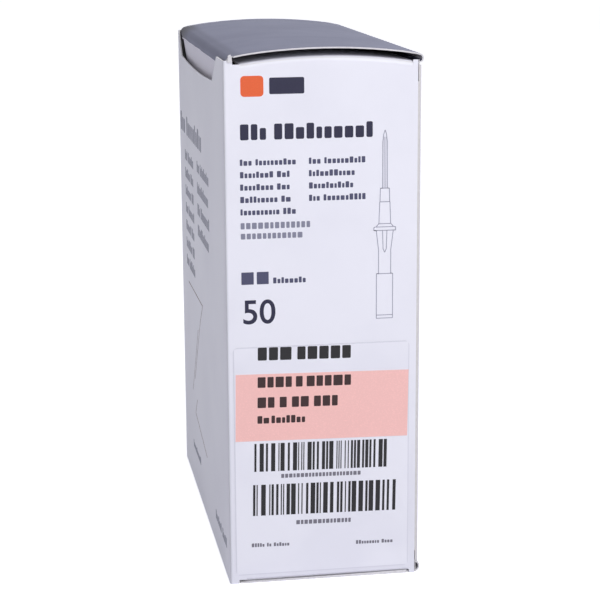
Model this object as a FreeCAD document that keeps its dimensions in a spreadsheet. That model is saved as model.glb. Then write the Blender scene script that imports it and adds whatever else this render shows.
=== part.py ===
import FreeCAD, Part
import Sketcher
import math
import os

# Folding carton of IV cannulas, standing on its end.
# One folded sheet makes the four panels, the glue flap and the four dust flaps.
# The lid and the bottom closure both hinge on the right panel and tuck in at the left one.
# Inside lie the sealed unit packs, in columns, on the bottom dust flaps.
# Frame: X to the right, Y from the front panel to the back, Z up, all in millimetres.
# The origin is the middle of the footprint on the surface that the carton stands on.

Vector = FreeCAD.Vector
doc = FreeCAD.newDocument("cannula_carton")

# Driving dimensions: lengths in millimetres, angles in degrees.
SIZES = {
    # unit packs and the room that they have
    "pack_width": 19.55,
    "pack_length": 146.0,
    "pack_thickness": 10.3,
    "pack_columns": 3,
    "pack_count": 50,
    "pack_gap": 0.2,
    "pack_end_gap": 1.0,
    "pack_head_gap": 2.0,
    "pack_side_gap": 0.54,
    "pack_fold_gap": 0.2,
    "pack_lidding": 0.5,
    "pack_rim": 1.8,
    "pack_rounding": 2.0,
    # board and the folded tube
    "board": 0.5,
    "corner_radius": 1.0,
    "seam_setback": 1.3,
    "glue_flap_width": 12.0,
    "glue_flap_trim": 8.0,
    # thumb notch in the left panel
    "notch_front": 17.5,
    "notch_back": 2.3,
    "notch_front_run": 13.7,
    "notch_back_run": 10.9,
    "notch_depth": 9.3,
    "notch_sag": 1.3,
    "notch_shoulder": 1.5,
    # lid, from its fold on the right panel to its tuck flap
    "top_fold_radius": 1.6,
    "top_fold_bulge": 0.8,
    "top_axis_drop": 0.4,
    "fold_slit": 0.75,
    "lid_overhang": 0.25,
    "lid_fold_slope": 13.0,
    "lid_right_slope": 7.0,
    "lid_left_slope": 6.0,
    "lid_crease_slope": 11.0,
    "lid_right_radius": 70.0,
    "lid_left_radius": 115.0,
    "lid_crease_radius": 2.5,
    "lid_crease_depth": 2.5,
    # tuck flaps
    "tuck_length": 14.0,
    "tuck_lean": 8.0,
    "tuck_clearance": 0.4,
    "tuck_setback": 12.0,
    "tuck_corner_radius": 7.0,
    "crease_width": 3.6,
    # bottom closure
    "bottom_fold_radius": 2.0,
    "bottom_fold_bulge": 0.8,
    "bottom_crease_radius": 3.0,
    # dust flaps
    "flap_length": 30.0,
    "flap_roll": 1.5,
    "flap_bow": 2.2,
    "flap_left": 5.5,
    "flap_relief": 2.3,
    "relief_depth": 1.3,
    "corner_drop": 0.8,
    "top_flap_drop": 1.2,
    "bottom_flap_lift": 0.7,
    "fold_clearance": 0.3,
    # label on the front panel
    "label_width": 60.6,
    "label_length": 81.0,
    "label_left": 2.1,
    "label_bottom": 3.0,
    "label_radius": 1.7,
    "label_paper": 0.12,
}

sheet = doc.addObject("Spreadsheet::Sheet", "sizes")
for row, (alias, number) in enumerate(SIZES.items(), start=1):
    sheet.set("A%d" % row, alias)
    sheet.set("B%d" % row, str(number))
    sheet.setAlias("B%d" % row, alias)
doc.recompute()

# Main dimensions of the carton, which follow from the packs that it holds.
PACK_LAYERS = math.ceil(sheet.pack_count / sheet.pack_columns)
TUCK_ROOM = ("(sizes.tuck_clearance + sizes.lid_crease_radius * (1 - cos(sizes.tuck_lean * 1 deg))"
             " + sizes.tuck_length * sin(sizes.tuck_lean * 1 deg)"
             " + sizes.board * cos(sizes.tuck_lean * 1 deg) + sizes.pack_side_gap)")
PACK_ROW = "(sizes.pack_columns * (sizes.pack_width + sizes.pack_gap) - sizes.pack_gap)"
FOLD_ROOM = "(2 * sizes.bottom_fold_radius - sizes.bottom_fold_bulge - sizes.board + sizes.pack_fold_gap)"
WIDTH = "(2 * sizes.board + %s + %s + %s)" % (TUCK_ROOM, PACK_ROW, FOLD_ROOM)
DEPTH = "(sizes.pack_length + 2 * (2 * sizes.board + sizes.pack_end_gap))"
STACK_BASE = "(sizes.bottom_flap_lift + sizes.board)"
STACK = "(%d * sizes.pack_thickness)" % PACK_LAYERS
HEIGHT = "(%s + %s + sizes.pack_head_gap + sizes.board + sizes.top_flap_drop)" % (STACK_BASE, STACK)

LEFT = "(-%s / 2)" % WIDTH
RIGHT = "(%s / 2)" % WIDTH
FRONT = "(-%s / 2)" % DEPTH
INNER_LEFT = "(%s + sizes.board)" % LEFT
INNER_HALF_DEPTH = "(%s / 2 - sizes.board)" % DEPTH

# Fold axes of the two covers.
TOP_AXIS_X = "(%s + sizes.top_fold_bulge - sizes.top_fold_radius)" % RIGHT
TOP_AXIS_Z = "(%s - sizes.top_axis_drop)" % HEIGHT
BOTTOM_AXIS_X = "(%s + sizes.bottom_fold_bulge - sizes.bottom_fold_radius)" % RIGHT
BOTTOM_AXIS_Z = "sizes.bottom_fold_radius"

# Where the dust flaps and the full depth of the covers begin and end.
FLAP_LEFT = "(%s + sizes.flap_left)" % LEFT
RELIEF_LEFT = "(%s - sizes.flap_relief)" % FLAP_LEFT
COVER_LEFT = "(%s + sizes.crease_width)" % LEFT
TOP_FLAP_RIGHT = "(%s - sizes.top_fold_radius - 2 * sizes.fold_clearance)" % TOP_AXIS_X
BOTTOM_FLAP_RIGHT = "(%s - sizes.bottom_fold_radius - sizes.fold_clearance)" % BOTTOM_AXIS_X
TOP_FLAP_Z = "(%s - sizes.top_flap_drop)" % HEIGHT
TOP_EDGE_Z = "(%s - sizes.top_fold_radius - sizes.fold_slit)" % TOP_AXIS_Z
BOTTOM_EDGE_Z = "(2 * sizes.bottom_fold_radius + sizes.fold_clearance)"

# Cutting tools reach this far past the faces that they cut.
PAST = 2.0
# How far the straight leg of a dust flap's form reaches into its panel.
LEG = 12.0
# Two places that lie closer together than this count as one.
CLOSE = 0.01


def measure(rule):
    """Value of a rule on the sheet, in millimetres."""
    return float(getattr(sheet.evalExpression(rule), "Value", sheet.evalExpression(rule)))


def bind(item, rules):
    """Tie properties of an object to rules on the sheet."""
    for name, rule in rules.items():
        item.setExpression(name, rule)
    return item


def block(name, low, size):
    """Box from its low corner and its size, both as rules."""
    item = doc.addObject("Part::Box", name)
    bind(item, dict(zip(("Placement.Base.x", "Placement.Base.y", "Placement.Base.z"), low)))
    return bind(item, dict(zip(("Length", "Width", "Height"), size)))


def span(name, x_range, y_range, z_range):
    """Box between the limits on each axis, as rules."""
    ranges = (x_range, y_range, z_range)
    return block(name, [low for low, high in ranges], ["(%s) - (%s)" % (high, low) for low, high in ranges])


def rounded(name, base, radius, wanted):
    """Fillet the edges of an object that the test picks."""
    doc.recompute()
    numbers = [number for number, edge in enumerate(base.Shape.Edges, start=1) if wanted(edge)]
    item = doc.addObject("Part::Fillet", name)
    item.Base = base
    item.Edges = [(number, radius, radius) for number in numbers]
    return item


def cut(name, base, tools):
    """Base less all of the tools."""
    item = doc.addObject("Part::Cut", name)
    item.Base = base
    item.Tool = fused(name + "_tools", tools)
    return item


def fused(name, shapes):
    """Several shapes as one."""
    if len(shapes) == 1:
        return shapes[0]
    item = doc.addObject("Part::MultiFuse", name)
    item.Shapes = shapes
    return item


def common(name, shapes):
    """What several shapes share."""
    item = doc.addObject("Part::MultiCommon", name)
    item.Shapes = shapes
    return item


def along(edge, axis):
    """True for a straight edge that runs along one axis."""
    if not isinstance(edge.Curve, Part.Line):
        return False
    return abs(edge.Curve.Direction.dot(axis)) > 0.999


def upright_sketch(name):
    """Sketch whose plane holds X and Z."""
    sketch = doc.addObject("Sketcher::SketchObject", name)
    sketch.Placement = FreeCAD.Placement(Vector(0, 0, 0), FreeCAD.Rotation(Vector(1, 0, 0), 90))
    return sketch


def fix(sketch, name, kind, parts, rule):
    """Add a dimension to a sketch and tie it to a rule."""
    value = measure(rule)
    if kind == "Angle":
        value = math.radians(value)
    number = sketch.addConstraint(Sketcher.Constraint(kind, *parts, value))
    sketch.renameConstraint(number, name)
    sketch.setExpression("Constraints." + name, rule)


def fold_line(name, axis_x, axis_z, arcs, tail):
    """Open line of tangent arcs and a straight tail: the outer face of a bent sheet.

    Each arc is (radius rule, span rule in degrees). The first one turns about the fold axis, from
    straight below it, and the line runs over the top and down at the left.
    """
    sketch = upright_sketch(name)
    centre = Vector(measure(axis_x), measure(axis_z), 0)
    angle = -90.0
    before = None
    for radius_rule, span_rule in arcs:
        radius = measure(radius_rule)
        turn = measure(span_rule)
        if before is not None:
            centre = centre + outward(angle) * (before - radius)
        circle = Part.Circle(centre, Vector(0, 0, 1), radius)
        sketch.addGeometry(Part.ArcOfCircle(circle, math.radians(angle), math.radians(angle + turn)), False)
        before = radius
        angle += turn
    start = centre + outward(angle) * before
    sketch.addGeometry(Part.LineSegment(start, start + outward(angle + 90) * measure(tail)), False)

    for number in range(len(arcs)):
        sketch.addConstraint(Sketcher.Constraint("Tangent", number, 2, number + 1, 1))
    for number, (radius_rule, span_rule) in enumerate(arcs):
        fix(sketch, "radius_%d" % number, "Radius", (number,), radius_rule)
        fix(sketch, "span_%d" % number, "Angle", (number,), "(%s) * 1 deg" % span_rule)
    sketch.addConstraint(Sketcher.Constraint("Vertical", 0, 3, 0, 1))
    fix(sketch, "axis_x", "DistanceX", (-1, 1, 0, 3), axis_x)
    fix(sketch, "axis_z", "DistanceY", (-1, 1, 0, 3), axis_z)
    fix(sketch, "tail", "Distance", (len(arcs),), tail)
    return sketch


def outward(angle):
    """Unit vector at an angle in degrees, in a sketch's own plane."""
    return Vector(math.cos(math.radians(angle)), math.sin(math.radians(angle)), 0)


def bent_sheet(name, line, depth):
    """Sheet of board inside a fold line, run along Y by the depth."""
    face = doc.addObject("Part::Extrusion", name + "_face")
    face.Base = line
    face.DirMode = "Custom"
    face.Dir = Vector(0, 1, 0)
    face.Solid = False
    face.Symmetric = True
    bind(face, {"LengthFwd": depth})
    item = doc.addObject("Part::Offset", name)
    item.Source = face
    item.Mode = 0
    item.Join = 0
    item.Fill = True
    return bind(item, {"Value": "-sizes.board"})


# Folded tube: four panels, rounded corners and the glue flap behind the front panel
outer = rounded("tube_outer", block("tube_outer_block", (LEFT, FRONT, "0"), (WIDTH, DEPTH, HEIGHT)),
                sheet.corner_radius, lambda edge: along(edge, Vector(0, 0, 1)))
inner_block = span("tube_inner_block", (INNER_LEFT, "-" + INNER_LEFT),
                   ("-" + INNER_HALF_DEPTH, INNER_HALF_DEPTH), ("-%g" % PAST, "%s + %g" % (HEIGHT, PAST)))
inner = rounded("tube_inner", inner_block, sheet.corner_radius - sheet.board,
                lambda edge: along(edge, Vector(0, 0, 1)))
tube = cut("tube", outer, [inner])
glue_flap = span("glue_flap",
                 ("%s - 1.5 * sizes.board - sizes.glue_flap_width" % RIGHT, "%s - 0.5 * sizes.board" % RIGHT),
                 ("%s + sizes.board" % FRONT, "%s + 2 * sizes.board" % FRONT),
                 ("sizes.glue_flap_trim", "%s - sizes.glue_flap_trim" % HEIGHT))


# Thumb notch in the left panel: slanted ends and a bottom that dips in the middle
def notch_tool():
    """Solid that cuts the thumb notch."""
    sketch = doc.addObject("Sketcher::SketchObject", "notch_outline")
    sketch.Placement = FreeCAD.Placement(Vector(0, 0, 0), FreeCAD.Rotation(Vector(1, 1, 1), 120))
    slope = "(%g / sizes.notch_depth)" % PAST
    low = "%s - sizes.notch_depth" % HEIGHT
    corners = {
        "front_top": ("%s + sizes.notch_front - sizes.notch_front_run * %s" % (FRONT, slope),
                      "%s + %g" % (HEIGHT, PAST)),
        "front_low": ("%s + sizes.notch_front + sizes.notch_front_run" % FRONT, low),
        "back_low": ("-%s - sizes.notch_back - sizes.notch_back_run" % FRONT, low),
        "back_top": ("-%s - sizes.notch_back + sizes.notch_back_run * %s" % (FRONT, slope),
                     "%s + %g" % (HEIGHT, PAST)),
    }
    points = {name: Vector(measure(along_y), measure(up), 0) for name, (along_y, up) in corners.items()}
    dip = (points["front_low"] + points["back_low"]) / 2 - Vector(0, sheet.notch_sag, 0)
    sketch.addGeometry(Part.LineSegment(points["front_top"], points["front_low"]), False)
    sketch.addGeometry(Part.Arc(points["front_low"], dip, points["back_low"]), False)
    sketch.addGeometry(Part.LineSegment(points["back_low"], points["back_top"]), False)
    sketch.addGeometry(Part.LineSegment(points["back_top"], points["front_top"]), False)
    for one, other in ((0, 1), (1, 2), (2, 3), (3, 0)):
        sketch.addConstraint(Sketcher.Constraint("Coincident", one, 2, other, 1))
    ends = {"front_top": (0, 1), "front_low": (0, 2), "back_low": (2, 1), "back_top": (2, 2)}
    for name, (line, end) in ends.items():
        along_y, up = corners[name]
        fix(sketch, name + "_y", "DistanceX", (-1, 1, line, end), along_y)
        fix(sketch, name + "_z", "DistanceY", (-1, 1, line, end), up)
    half = "((%s) - (%s)) / 2" % (corners["back_low"][0], corners["front_low"][0])
    fix(sketch, "dip_radius", "Radius", (1,), "(pow(%s; 2) / sizes.notch_sag + sizes.notch_sag) / 2" % half)
    item = doc.addObject("Part::Extrusion", "thumb_notch")
    item.Base = sketch
    item.DirMode = "Custom"
    item.Dir = Vector(1, 0, 0)
    item.Solid = True
    bind(item, {"LengthFwd": "2 * sizes.board + %g" % PAST,
                "Placement.Base.x": "%s - %g" % (LEFT, PAST)})
    return item


# Cuts where the panels make way for the folds, the dust flaps and the covers
def trims():
    """Solids that trim the tube's panels at both ends."""
    beyond_right = "%s + %g" % (RIGHT, PAST)
    above = "%s + %g" % (HEIGHT, PAST)
    below = "-%g" % PAST
    seam = "%s - sizes.seam_setback" % RIGHT
    fold_side = ("%s - 1.5 * sizes.board" % RIGHT, beyond_right)
    between_panels = ("%s + sizes.board" % FRONT, "-%s - sizes.board" % FRONT)
    tools = [
        notch_tool(),
        span("seam_step", (seam, beyond_right), ("%s - %g" % (FRONT, PAST), "%s + sizes.board" % FRONT),
             (below, above)),
        span("top_fold_trim", fold_side, between_panels, (TOP_EDGE_Z, above)),
        span("bottom_fold_trim", fold_side, between_panels, (below, BOTTOM_EDGE_Z)),
    ]
    sides = {
        "front": ("%s - %g" % (FRONT, PAST), "%s + sizes.board + sizes.corner_radius" % FRONT),
        "back": ("-%s - sizes.board - sizes.corner_radius" % FRONT, "-%s + %g" % (FRONT, PAST)),
    }
    for side, y_range in sides.items():
        tools += [
            span("top_flap_trim_" + side, (FLAP_LEFT, TOP_FLAP_RIGHT), y_range,
                 ("%s - %g" % (HEIGHT, LEG / 2), above)),
            span("top_relief_" + side, (RELIEF_LEFT, TOP_FLAP_RIGHT), y_range,
                 ("%s - sizes.relief_depth" % HEIGHT, above)),
            span("top_corner_trim_" + side, (TOP_FLAP_RIGHT, beyond_right), y_range,
                 ("%s - sizes.corner_drop" % HEIGHT, above)),
            span("bottom_flap_trim_" + side, (FLAP_LEFT, BOTTOM_FLAP_RIGHT), y_range,
                 (below, "%g" % (LEG / 2))),
            span("bottom_relief_" + side, (RELIEF_LEFT, "%s + sizes.fold_clearance" % BOTTOM_FLAP_RIGHT),
                 y_range, (below, "sizes.relief_depth")),
        ]
    return tools


# Dust flaps: each rolls over from its panel and runs into the carton
def dust_flap(name, front, top):
    """One dust flap, with the straight leg that joins it to its panel.

    The flap is the difference of two rounded forms, a board thickness apart. A top flap is bowed
    across the carton, and a bottom flap is flat.
    """
    right = TOP_FLAP_RIGHT if top else BOTTOM_FLAP_RIGHT
    forms = []
    for layer, inset in (("outer", "0"), ("inner", "sizes.board")):
        length = "sizes.flap_length + %s" % ("0" if layer == "outer" else "%g" % PAST)
        if front:
            y_range = ("%s + %s" % (FRONT, inset), "%s + %s" % (FRONT, length))
        else:
            y_range = ("-%s - (%s)" % (FRONT, length), "-%s - %s" % (FRONT, inset))
        margin = "0" if layer == "outer" else "%g" % PAST
        x_range = ("%s - %s" % (FLAP_LEFT, margin), "%s + %s" % (right, margin))
        if top:
            z_range = ("%s - %g - %s" % (HEIGHT, LEG, margin),
                       "%s + sizes.flap_bow - %s" % (TOP_FLAP_Z, inset))
        else:
            z_range = ("sizes.bottom_flap_lift + %s" % inset, "%g + %s" % (LEG, margin))
        form = span("%s_%s_block" % (name, layer), x_range, y_range, z_range)
        if top:
            half = "((%s - %s) / 2)" % (right, FLAP_LEFT)
            bow_radius = "((pow(%s; 2) / sizes.flap_bow + sizes.flap_bow) / 2)" % half
            barrel = doc.addObject("Part::Cylinder", "%s_%s_barrel" % (name, layer))
            barrel.Placement = FreeCAD.Placement(Vector(0, 0, 0), FreeCAD.Rotation(Vector(1, 0, 0), -90))
            bind(barrel, {
                "Radius": "%s - %s" % (bow_radius, inset),
                "Height": DEPTH + " + %g" % (2 * PAST),
                "Placement.Base.x": "(%s + %s) / 2" % (right, FLAP_LEFT),
                "Placement.Base.y": "%s - %g" % (FRONT, PAST),
                "Placement.Base.z": "%s + sizes.flap_bow - %s" % (TOP_FLAP_Z, bow_radius),
            })
            form = common("%s_%s_form" % (name, layer), [form, barrel])
        radius = sheet.flap_roll - (0 if layer == "outer" else sheet.board)
        forms.append(rounded("%s_%s" % (name, layer), form, radius, roll_test(front, top)))
    return cut(name, forms[0], [forms[1]])


def roll_test(front, top):
    """Test that picks the edge where a dust flap rolls over from its panel."""
    def wanted(edge):
        box = edge.BoundBox
        if box.YLength > CLOSE or box.XLength < sheet.flap_length / 2:
            return False
        middle = edge.CenterOfMass
        on_panel = middle.y < -sheet.pack_length / 2 if front else middle.y > sheet.pack_length / 2
        high = middle.z > measure(HEIGHT) / 2 + measure(STACK) / 2 - LEG / 2
        low = middle.z < measure(STACK_BASE) + CLOSE
        return on_panel and (high if top else low)
    return wanted


flaps = [
    dust_flap("top_front_flap", True, True),
    dust_flap("top_back_flap", False, True),
    dust_flap("bottom_front_flap", True, False),
    dust_flap("bottom_back_flap", False, False),
]
panels = cut("trimmed_tube", fused("glued_tube", [tube, glue_flap]), trims())
shoulder_y = measure("%s + sizes.notch_front" % FRONT)
panels = rounded("eased_tube", panels, sheet.notch_shoulder,
                 lambda edge: along(edge, Vector(1, 0, 0)) and abs(edge.CenterOfMass.y - shoulder_y) < CLOSE
                 and abs(edge.CenterOfMass.z - measure(HEIGHT)) < CLOSE)
carton_body = fused("carton_sheet", [panels] + flaps)
carton_body.Label = "carton_body"


# Covers: a lid and a bottom closure, each one panel with a tuck flap
def cover_window(name, top):
    """Room that a cover fills: full depth over its panel, set back at its fold, crease and tuck flap."""
    beyond_left = "%s - %g" % (LEFT, PAST)
    beyond_right = "%s + 2 * %g" % (RIGHT, PAST)
    crease_half = "(%s - sizes.fold_clearance)" % INNER_HALF_DEPTH
    tuck_half = "(%s / 2 - sizes.tuck_setback)" % DEPTH
    turn = "sizes.lid_crease_radius" if top else "sizes.bottom_crease_radius"
    reach = "(%s + sizes.tuck_length + %g)" % (turn, PAST)
    if top:
        low, high = "%s - %s" % (TOP_AXIS_Z, reach), "%s + 5 * %g" % (HEIGHT, PAST)
        turned = "%s - sizes.lid_crease_depth" % TOP_AXIS_Z
        crease_z = (turned, high)
        tuck_z = ("%s - %s - sizes.tuck_length" % (TOP_AXIS_Z, turn), "%s + %g" % (turned, PAST))
        panel_half = "(%s / 2 + sizes.lid_overhang)" % DEPTH
        fold_x, fold_radius = TOP_AXIS_X, "sizes.top_fold_radius"
    else:
        low, high = "-%g" % PAST, reach
        turned = "%s / 2" % turn
        crease_z = (low, turned)
        tuck_z = ("%s - %g" % (turned, PAST), "%s + sizes.tuck_length" % turn)
        panel_half = "(%s / 2)" % DEPTH
        fold_x, fold_radius = BOTTOM_AXIS_X, "sizes.bottom_fold_radius"
    panel_right = "%s - 1.5 * %s" % (fold_x, fold_radius)
    panel = span(name + "_panel_room", (COVER_LEFT, panel_right), ("-" + panel_half, panel_half), (low, high))
    crease = span(name + "_crease_room", (beyond_left, "%s + %g" % (COVER_LEFT, PAST)),
                  ("-" + crease_half, crease_half), crease_z)
    tuck_block = span(name + "_tuck_block", (beyond_left, COVER_LEFT), ("-" + tuck_half, tuck_half), tuck_z)
    tip = measure(tuck_z[0] if top else tuck_z[1])
    tuck = rounded(name + "_tuck_room", tuck_block, sheet.tuck_corner_radius,
                   lambda edge: along(edge, Vector(1, 0, 0)) and abs(edge.CenterOfMass.z - tip) < CLOSE)
    fold = span(name + "_fold_room", ("%s - %g" % (panel_right, PAST), beyond_right),
                ("-" + crease_half, crease_half), (low, high))
    return fused(name + "_room", [panel, crease, tuck, fold])


def lid():
    """Lid: fold, bowed panel, soft crease and leaning tuck flap."""
    def sine(angle):
        return "sin(sizes.%s * 1 deg)" % angle

    reach = ("(%s - (sizes.lid_right_radius - sizes.top_fold_radius) * %s + sizes.lid_right_radius * %s"
             " + sizes.lid_left_radius * %s - (sizes.lid_left_radius - sizes.lid_crease_radius) * %s"
             " - sizes.lid_crease_radius - %s - sizes.tuck_clearance)"
             % (TOP_AXIS_X, sine("lid_fold_slope"), sine("lid_right_slope"), sine("lid_left_slope"),
                sine("lid_crease_slope"), INNER_LEFT))
    crown_radius = "(%s / (%s + %s))" % (reach, sine("lid_right_slope"), sine("lid_left_slope"))
    arcs = [
        ("sizes.top_fold_radius", "180 - sizes.lid_fold_slope"),
        ("sizes.lid_right_radius", "sizes.lid_fold_slope - sizes.lid_right_slope"),
        (crown_radius, "sizes.lid_right_slope + sizes.lid_left_slope"),
        ("sizes.lid_left_radius", "sizes.lid_crease_slope - sizes.lid_left_slope"),
        ("sizes.lid_crease_radius", "90 - sizes.lid_crease_slope + sizes.tuck_lean"),
    ]
    line = fold_line("lid_line", TOP_AXIS_X, TOP_AXIS_Z, arcs, "sizes.tuck_length")
    board = bent_sheet("lid_board", line, "%s + 2 * sizes.lid_overhang" % DEPTH)
    return common("lid_panel", [board, cover_window("lid", True)])


def bottom_closure():
    """Bottom closure: fold, flat panel, crease and leaning tuck flap."""
    sketch = upright_sketch("closure_line")
    crease_x = "(%s + sizes.tuck_clearance + sizes.bottom_crease_radius)" % INNER_LEFT
    lean = math.radians(sheet.tuck_lean)
    axis = Vector(measure(BOTTOM_AXIS_X), measure(BOTTOM_AXIS_Z), 0)
    turn = Vector(measure(crease_x), sheet.bottom_crease_radius, 0)
    up = Vector(0, 0, 1)
    sketch.addGeometry(Part.ArcOfCircle(Part.Circle(axis, up, sheet.bottom_fold_radius),
                                        -math.pi / 2, math.pi / 2), False)
    sketch.addGeometry(Part.LineSegment(Vector(axis.x, 0, 0), Vector(turn.x, 0, 0)), False)
    sketch.addGeometry(Part.ArcOfCircle(Part.Circle(turn, up, sheet.bottom_crease_radius),
                                        math.pi - lean, 3 * math.pi / 2), False)
    start = turn + Vector(-math.cos(lean), math.sin(lean), 0) * sheet.bottom_crease_radius
    end = start + Vector(math.sin(lean), math.cos(lean), 0) * sheet.tuck_length
    sketch.addGeometry(Part.LineSegment(start, end), False)
    sketch.addConstraint(Sketcher.Constraint("Tangent", 0, 1, 1, 1))
    sketch.addConstraint(Sketcher.Constraint("Tangent", 1, 2, 2, 2))
    sketch.addConstraint(Sketcher.Constraint("Tangent", 2, 1, 3, 1))
    sketch.addConstraint(Sketcher.Constraint("Vertical", 0, 3, 0, 2))
    fix(sketch, "fold_radius", "Radius", (0,), "sizes.bottom_fold_radius")
    fix(sketch, "fold_span", "Angle", (0,), "180 * 1 deg")
    fix(sketch, "axis_x", "DistanceX", (-1, 1, 0, 3), BOTTOM_AXIS_X)
    fix(sketch, "axis_z", "DistanceY", (-1, 1, 0, 3), BOTTOM_AXIS_Z)
    fix(sketch, "crease_radius", "Radius", (2,), "sizes.bottom_crease_radius")
    fix(sketch, "crease_span", "Angle", (2,), "(90 + sizes.tuck_lean) * 1 deg")
    fix(sketch, "crease_x", "DistanceX", (2, 3, -1, 1), "-%s" % crease_x)
    fix(sketch, "tail", "Distance", (3,), "sizes.tuck_length")
    board = bent_sheet("closure_board", sketch, DEPTH)
    return common("closure_panel", [board, cover_window("closure", False)])


lid_node = lid()
lid_node.Label = "lid"
closure_node = bottom_closure()
closure_node.Label = "bottom_closure"

# Paper label, glued on the lower part of the front panel
label_block = span("label_block",
                   ("%s + sizes.label_left" % LEFT, "%s + sizes.label_left + sizes.label_width" % LEFT),
                   ("%s - sizes.label_paper" % FRONT, FRONT),
                   ("sizes.label_bottom", "sizes.label_bottom + sizes.label_length"))
label = rounded("label_sheet", label_block, sheet.label_radius, lambda edge: along(edge, Vector(0, 1, 0)))
label.Label = "front_label"


# Sealed unit packs: a formed blister under flat lidding, laid in columns from the bottom up
def unit_pack(number):
    """One sealed pack in its place in the stack."""
    layer, column = divmod(number - 1, int(sheet.pack_columns))
    if layer == PACK_LAYERS - 1:
        column += int(sheet.pack_columns) * PACK_LAYERS - int(sheet.pack_count)
    name = "unit_pack_%02d" % number
    x = "%s + %s + %d * (sizes.pack_width + sizes.pack_gap)" % (INNER_LEFT, TUCK_ROOM, column)
    y = "-sizes.pack_length / 2"
    z = "%s + %d * sizes.pack_thickness" % (STACK_BASE, layer)
    lidding = block(name + "_lidding", (x, y, "%s + sizes.pack_thickness - sizes.pack_lidding" % z),
                    ("sizes.pack_width", "sizes.pack_length", "sizes.pack_lidding"))
    blister = block(name + "_blister", ("%s + sizes.pack_rim" % x, "%s + sizes.pack_rim" % y, z),
                    ("sizes.pack_width - 2 * sizes.pack_rim", "sizes.pack_length - 2 * sizes.pack_rim",
                     "sizes.pack_thickness - sizes.pack_lidding"))
    base = measure(z)
    formed = rounded(name + "_formed", blister, sheet.pack_rounding,
                     lambda edge: along(edge, Vector(0, 0, 1)) or abs(edge.CenterOfMass.z - base) < CLOSE)
    pack = fused(name + "_whole", [lidding, formed])
    pack.Label = name
    return pack


packs = [unit_pack(number) for number in range(1, int(sheet.pack_count) + 1)]
doc.recompute()

# Every object has to be sound before a file is written
NODES = [carton_body, lid_node, closure_node, label] + packs
for item in doc.Objects:
    if "Invalid" in item.State or "Error" in item.State:
        raise RuntimeError("%s failed: %s" % (item.Name, item.State))
for node in NODES:
    if node.Shape.isNull() or not node.Shape.isValid() or len(node.Shape.Solids) != 1:
        raise RuntimeError("%s is not one sound solid" % node.Label)

os.makedirs("parts", exist_ok=True)
for node in NODES:
    node.Shape.exportStep("parts/%s.step" % node.Label)
    if not node.Label.startswith("unit_pack"):
        box = node.Shape.optimalBoundingBox()
        print("%-16s x %7.2f %7.2f  y %7.2f %7.2f  z %7.2f %7.2f  %9.1f mm3" % (
            node.Label, box.XMin, box.XMax, box.YMin, box.YMax, box.ZMin, box.ZMax, node.Shape.Volume))
print("%d nodes" % len(NODES))
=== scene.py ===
"""Looks of a shelf carton of intravenous cannulas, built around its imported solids.

Everything is in metres and in the part's own frame: X to the right, Y from the printed front to the
back, Z up. Sizes in the classes are millimetres, as on a print drawing, and are scaled when used.
"""
import logging
import math
import random
from dataclasses import dataclass
from enum import Enum

import bpy
from mathutils import Matrix, Vector


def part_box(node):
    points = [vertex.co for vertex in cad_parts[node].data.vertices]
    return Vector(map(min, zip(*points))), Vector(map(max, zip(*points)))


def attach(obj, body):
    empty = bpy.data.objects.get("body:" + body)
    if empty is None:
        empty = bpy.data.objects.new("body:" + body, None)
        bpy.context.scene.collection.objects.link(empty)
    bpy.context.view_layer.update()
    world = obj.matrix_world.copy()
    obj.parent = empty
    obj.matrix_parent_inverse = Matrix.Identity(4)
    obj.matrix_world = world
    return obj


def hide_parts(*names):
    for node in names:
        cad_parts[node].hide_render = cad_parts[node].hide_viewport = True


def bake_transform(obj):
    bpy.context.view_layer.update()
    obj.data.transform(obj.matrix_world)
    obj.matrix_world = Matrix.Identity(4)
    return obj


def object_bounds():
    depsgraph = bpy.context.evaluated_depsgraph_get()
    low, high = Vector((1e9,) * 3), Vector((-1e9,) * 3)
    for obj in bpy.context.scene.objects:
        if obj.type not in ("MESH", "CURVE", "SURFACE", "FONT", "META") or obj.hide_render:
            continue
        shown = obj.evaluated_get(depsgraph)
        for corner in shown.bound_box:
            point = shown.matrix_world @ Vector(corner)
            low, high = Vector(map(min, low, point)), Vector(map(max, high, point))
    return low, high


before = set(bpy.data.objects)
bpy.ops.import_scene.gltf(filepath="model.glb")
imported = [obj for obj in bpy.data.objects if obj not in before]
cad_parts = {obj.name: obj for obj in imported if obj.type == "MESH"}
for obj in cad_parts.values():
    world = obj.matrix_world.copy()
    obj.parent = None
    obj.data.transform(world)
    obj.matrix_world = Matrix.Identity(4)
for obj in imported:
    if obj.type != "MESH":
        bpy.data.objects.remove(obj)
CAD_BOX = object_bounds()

LOG = logging.getLogger("carton")
MM = 0.001
Colour = tuple[float, float, float, float]
Box = tuple[Vector, Vector]


def screen(red: int, green: int, blue: int) -> Colour:
    """Light values of a colour that is given as it shows on a screen.

    Args:
        red: level from 0 to 255.
        green: level from 0 to 255.
        blue: level from 0 to 255.

    Returns:
        The colour with full cover.
    """
    def light(level: int) -> float:
        share = level / 255
        return share / 12.92 if share <= 0.04045 else ((share + 0.055) / 1.055) ** 2.4

    return (light(red), light(green), light(blue), 1.0)


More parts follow.
